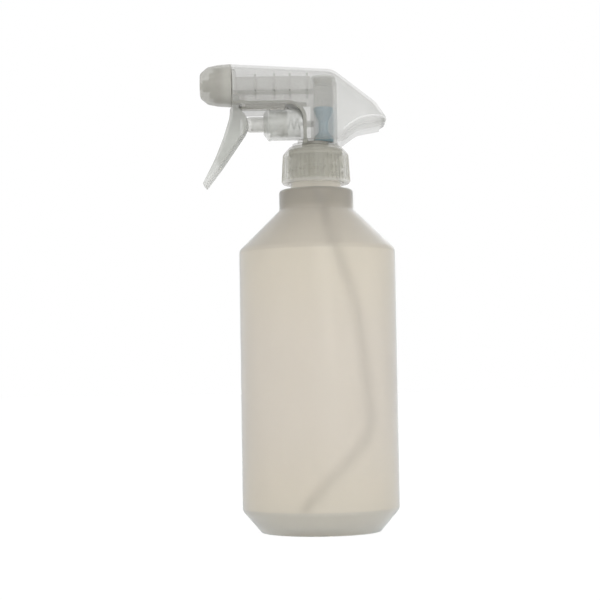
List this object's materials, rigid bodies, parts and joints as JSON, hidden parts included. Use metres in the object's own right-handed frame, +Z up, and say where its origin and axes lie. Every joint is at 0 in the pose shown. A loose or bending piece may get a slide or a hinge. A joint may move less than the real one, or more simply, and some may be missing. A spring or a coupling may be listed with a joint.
{
  "type": "trigger spray bottle",
  "caption": "Round translucent plastic bottle with a collar and cone shoulder, a ribbed screw closure and a clear trigger pump head with turning nozzle.",
  "frame": {"origin": "centre of the bottle's round base, on the surface that it stands on", "axes": "+Z up along the bottle's axis, -X the way the nozzle sprays, Y across the head"},
  "size_m": [0.0966, 0.078, 0.2349],
  "materials": {
    "natural_hdpe": "satin translucent blow-moulded polyethylene",
    "closure_plastic": "satin translucent polypropylene",
    "pump_plastic": "satin natural polypropylene",
    "clear_plastic": "glossy translucent",
    "shroud_plastic": "glossy clear",
    "trigger_plastic": "satin translucent",
    "nozzle_plastic": "satin translucent",
    "tube_plastic": "smooth translucent",
    "valve_rubber": "smooth blue elastomer",
    "seal_rubber": "smooth natural elastomer",
    "gasket_foam": "matte foamed liner",
    "steel": "bright drawn stainless"
  },
  "bodies": {
    "bottle": {"bottle": "natural_hdpe"},
    "neck_seal": {"neck_gasket": "gasket_foam"},
    "closure": {"closure_cap": "closure_plastic"},
    "head": {"pump_body": "pump_plastic", "tube_retainer": "pump_plastic", "dip_tube": "tube_plastic", "column_plug": "pump_plastic", "check_valve": "valve_rubber", "pump_cylinder": "clear_plastic", "rod_guide": "clear_plastic", "shroud": "shroud_plastic", "return_spring": "steel", "spinner": "pump_plastic", "nozzle_seal": "seal_rubber"},
    "trigger": {"trigger": "trigger_plastic"},
    "piston": {"piston": "clear_plastic", "piston_seal": "seal_rubber"},
    "nozzle": {"nozzle_cap": "nozzle_plastic", "orifice_cup": "pump_plastic"},
    "inlet_ball": {"inlet_ball": "steel"}
  },
  "joints": [
    {"name": "head_lift", "type": "slide", "parent": "bottle", "child": "neck_seal", "axis": [0, 0, 1], "range_m": [0, 0.00529]},
    {"name": "cap_turn", "type": "hinge", "parent": "neck_seal", "child": "closure", "pos_m": [0, 0, 0.184], "axis": [0, 0, 1], "range_deg": [0, 450]},
    {"name": "head_swivel", "type": "hinge", "parent": "neck_seal", "child": "head", "pos_m": [0, 0, 0.191], "axis": [0, 0, 1], "continuous": true},
    {"name": "trigger_pull", "type": "hinge", "parent": "head", "child": "trigger", "pos_m": [-0.0394, 0, 0.21595], "axis": [0, -1, 0], "range_deg": [0, 25]},
    {"name": "piston_slide", "type": "slide", "parent": "head", "child": "piston", "axis": [1, 0, 0], "range_m": [0, 0.00629], "stiffness_N_per_m": 600, "deforming": ["return_spring"]},
    {"name": "nozzle_turn", "type": "hinge", "parent": "head", "child": "nozzle", "pos_m": [-0.05, 0, 0.22405], "axis": [-1, 0, 0], "continuous": true},
    {"name": "ball_lift", "type": "slide", "parent": "head", "child": "inlet_ball", "axis": [0, 0, 1], "range_m": [0, 0.0008]}
  ],
  "couplings": [
    {"joint": "cap_turn", "follows": "head_lift", "rad_per_m": 1484.3},
    {"joint": "trigger_pull", "follows": "piston_slide", "rad_per_m": 69.332}
  ]
}
